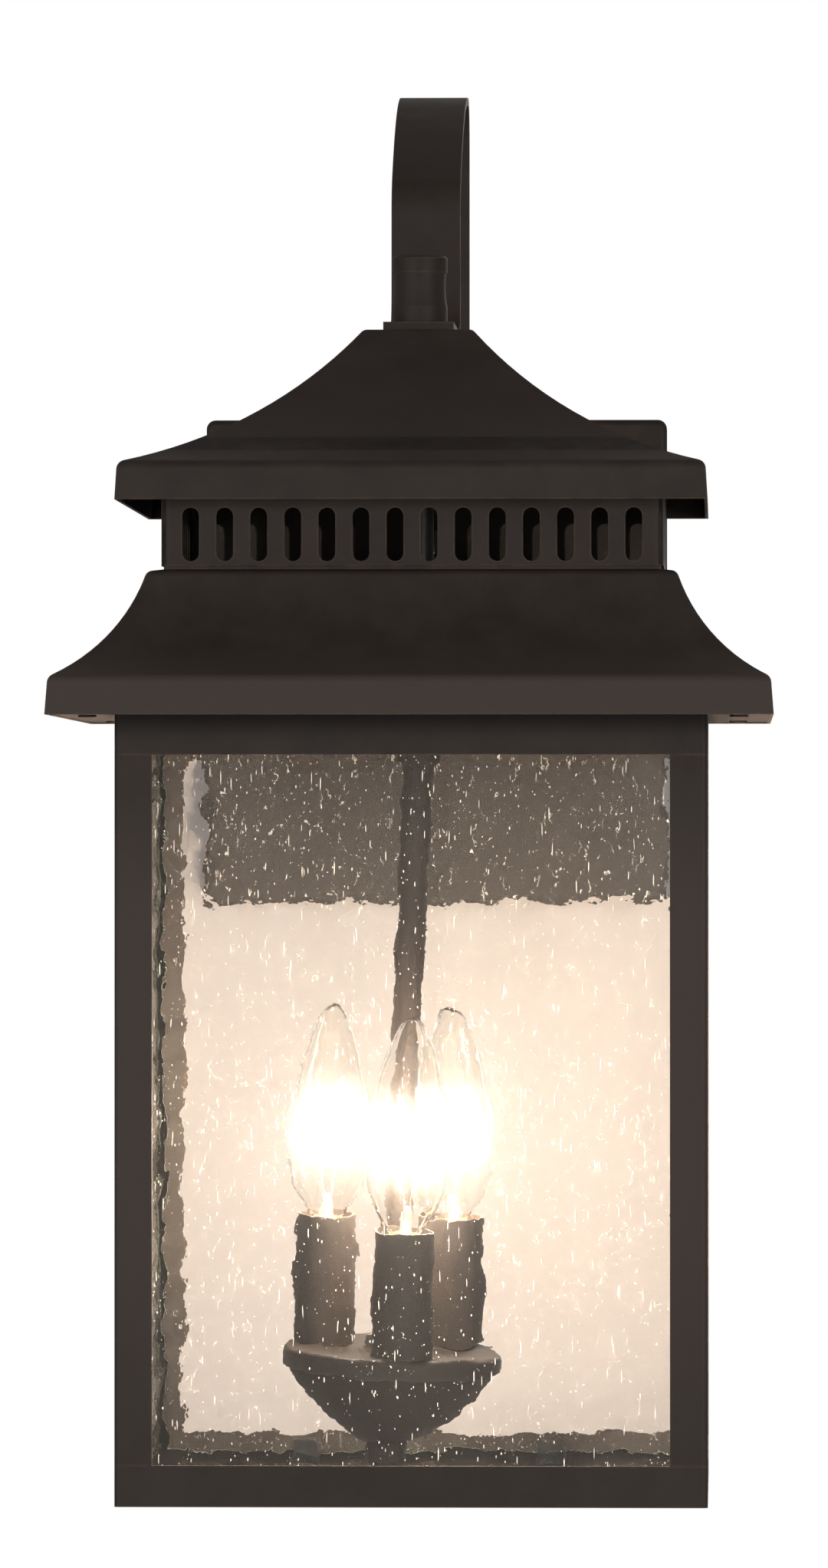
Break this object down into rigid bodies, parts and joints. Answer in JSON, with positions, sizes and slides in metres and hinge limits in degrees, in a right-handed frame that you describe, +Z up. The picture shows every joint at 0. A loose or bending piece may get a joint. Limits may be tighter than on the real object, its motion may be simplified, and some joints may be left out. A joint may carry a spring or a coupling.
{
  "type": "outdoor wall lantern",
  "caption": "Square tiered outdoor wall lantern on a strap arm, with flared roofs, a slotted vent ring, seeded glass panes and a hanging candle cluster.",
  "frame": {"origin": "centre of the two box-screw slots, on the wall plane at the back of the mounting bracket", "axes": "+Z up, +Y into the wall, +X to the right of someone who faces the light"},
  "size_m": [0.254, 0.356, 0.5157],
  "materials": {
    "bronze": "dark oil-rubbed bronze, satin",
    "candle": "dark bronze, matte",
    "seeded_glass": "clear, seeded",
    "zinc": "zinc plated",
    "dark_steel": "blackened steel",
    "ground_green": "green",
    "rubber": "matte",
    "holder": "moulded",
    "brass": "plain",
    "lamp_glass": "clear, thin",
    "filament": "glowing"
  },
  "bodies": {
    "root": {"wall_plate": "bronze", "arm_strap": "bronze", "arm_screws": "bronze", "cap_nuts": "bronze", "finial_nut": "bronze", "upper_roof": "bronze", "vent_side_front": "bronze", "vent_side_right": "bronze", "vent_side_back": "bronze", "vent_side_left": "bronze", "lower_roof": "bronze", "roof_soffit": "bronze", "soffit_fixings": "bronze", "cage_top_rail": "bronze", "cage_bottom_rail": "bronze", "post_front_left": "bronze", "post_front_right": "bronze", "post_back_left": "bronze", "post_back_right": "bronze", "stem_coupling": "bronze", "stem_tube": "bronze", "cluster_cover": "bronze", "cluster_bowl": "bronze", "cluster_knob": "bronze", "candle_sleeve_1": "candle", "candle_sleeve_2": "candle", "candle_sleeve_3": "candle", "glass_front": "seeded_glass", "glass_back": "seeded_glass", "glass_left": "seeded_glass", "glass_right": "seeded_glass", "mounting_bracket": "zinc", "bracket_studs": "zinc", "arm_backing_plate": "zinc", "frame_screws": "zinc", "cover_nuts": "zinc", "socket_nipples": "zinc", "crossbar": "dark_steel", "crossbar_screws": "dark_steel", "tie_pipe": "dark_steel", "pipe_nuts": "dark_steel", "glass_clips": "dark_steel", "ground_screw": "ground_green", "wall_gasket": "rubber", "lead_grommets": "rubber", "lamp_sockets": "holder", "socket_shells": "brass", "socket_contacts": "brass"},
    "bulb_1_lift": {"bulb_contact_1": "brass"},
    "bulb_1": {"bulb_glass_1": "lamp_glass", "bulb_cap_1": "brass", "bulb_filament_1": "filament"},
    "bulb_2_lift": {"bulb_contact_2": "brass"},
    "bulb_2": {"bulb_glass_2": "lamp_glass", "bulb_cap_2": "brass", "bulb_filament_2": "filament"},
    "bulb_3_lift": {"bulb_contact_3": "brass"},
    "bulb_3": {"bulb_glass_3": "lamp_glass", "bulb_cap_3": "brass", "bulb_filament_3": "filament"}
  },
  "joints": [
    {"name": "bulb_1_rise", "type": "slide", "parent": "root", "child": "bulb_1_lift", "axis": [0.0304, -0.0784, 0.9965], "range_m": [0, 0.01017]},
    {"name": "bulb_1_turn", "type": "hinge", "parent": "bulb_1_lift", "child": "bulb_1", "pos_m": [-0.03445, -0.20508, -0.20472], "axis": [0.0304, -0.0784, 0.9965], "range_deg": [0, 1440]},
    {"name": "bulb_2_rise", "type": "slide", "parent": "root", "child": "bulb_2_lift", "axis": [0.0374, -0.0785, 0.9962], "range_m": [0, 0.01017]},
    {"name": "bulb_2_turn", "type": "hinge", "parent": "bulb_2_lift", "child": "bulb_2", "pos_m": [-0.00486, -0.2421, -0.20905], "axis": [0.0374, -0.0785, 0.9962], "range_deg": [0, 1440]},
    {"name": "bulb_3_rise", "type": "slide", "parent": "root", "child": "bulb_3_lift", "axis": [-0.0097, -0.0783, 0.9969], "range_m": [0, 0.01017]},
    {"name": "bulb_3_turn", "type": "hinge", "parent": "bulb_3_lift", "child": "bulb_3", "pos_m": [0.01122, -0.19808, -0.20641], "axis": [-0.0097, -0.0783, 0.9969], "range_deg": [0, 1440]}
  ],
  "couplings": [
    {"joint": "bulb_1_rise", "follows": "bulb_1_turn", "m_per_rad": 0.00040425},
    {"joint": "bulb_2_rise", "follows": "bulb_2_turn", "m_per_rad": 0.00040425},
    {"joint": "bulb_3_rise", "follows": "bulb_3_turn", "m_per_rad": 0.00040425}
  ]
}
